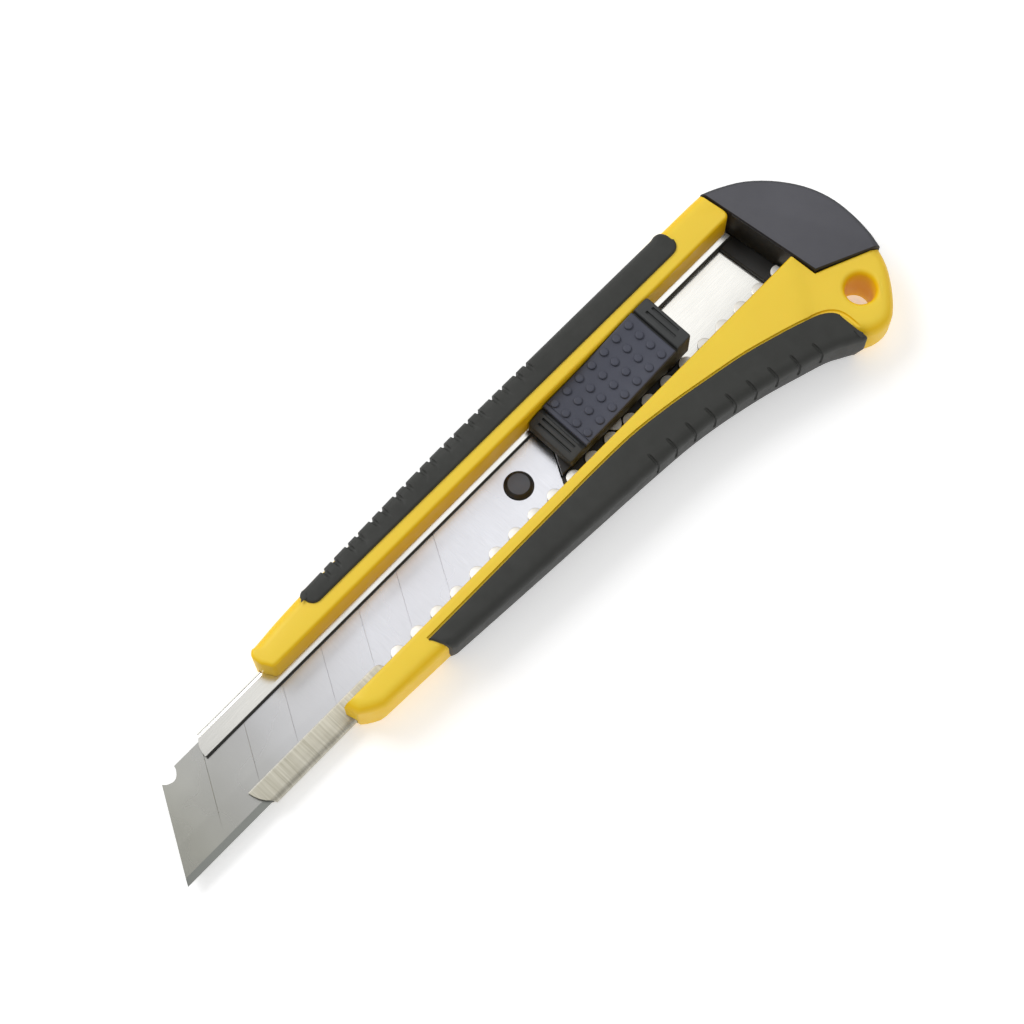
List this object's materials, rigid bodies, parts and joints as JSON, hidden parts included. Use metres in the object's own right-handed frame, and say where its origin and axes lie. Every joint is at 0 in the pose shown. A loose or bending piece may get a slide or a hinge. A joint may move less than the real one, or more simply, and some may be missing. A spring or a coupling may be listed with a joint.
{
  "type": "snap off knife",
  "caption": "Snap-off utility knife with a segmented blade in a steel rail, a locking thumb slider, soft grips and a pull-off end cap.",
  "frame": {"origin": "centre of the knife's footprint, on the plane that its back lies on", "axes": "+X from the blade's tip towards the end cap, +Y from the cutting edge towards the blade's spine, +Z out of the face with the thumb slider"},
  "size_m": [0.1808, 0.045, 0.0129],
  "materials": {
    "housing": "fine satin moulded ABS",
    "grip": "matt thermoplastic rubber",
    "rail": "bright rolled steel",
    "blade": "ground carbon steel",
    "carrier": "moulded nylon",
    "spring": "spring steel",
    "slider": "moulded nylon",
    "pad": "matt thermoplastic rubber",
    "cap": "fine textured moulded plastic"
  },
  "bodies": {
    "handle": {"housing": "housing", "grip_upper": "grip", "grip_lower": "grip", "rail": "rail"},
    "carriage": {"blade": "blade", "blade_carrier": "carrier", "lock_spring": "spring"},
    "thumb": {"thumb_slider": "slider", "slider_pad": "pad"},
    "cap": {"end_cap": "cap"}
  },
  "joints": [
    {"name": "blade_slide", "type": "slide", "parent": "handle", "child": "carriage", "axis": [-1, 0, 0], "range_m": [-0.02127, 0.06382], "deforming": ["lock_spring"]},
    {"name": "thumb_release", "type": "slide", "parent": "carriage", "child": "thumb", "axis": [1, 0, 0], "range_m": [-0.001, 0.001], "stiffness_N_per_m": 400},
    {"name": "cap_pull", "type": "slide", "parent": "handle", "child": "cap", "axis": [1, 0, 0], "range_m": [0, 0.026]}
  ]
}
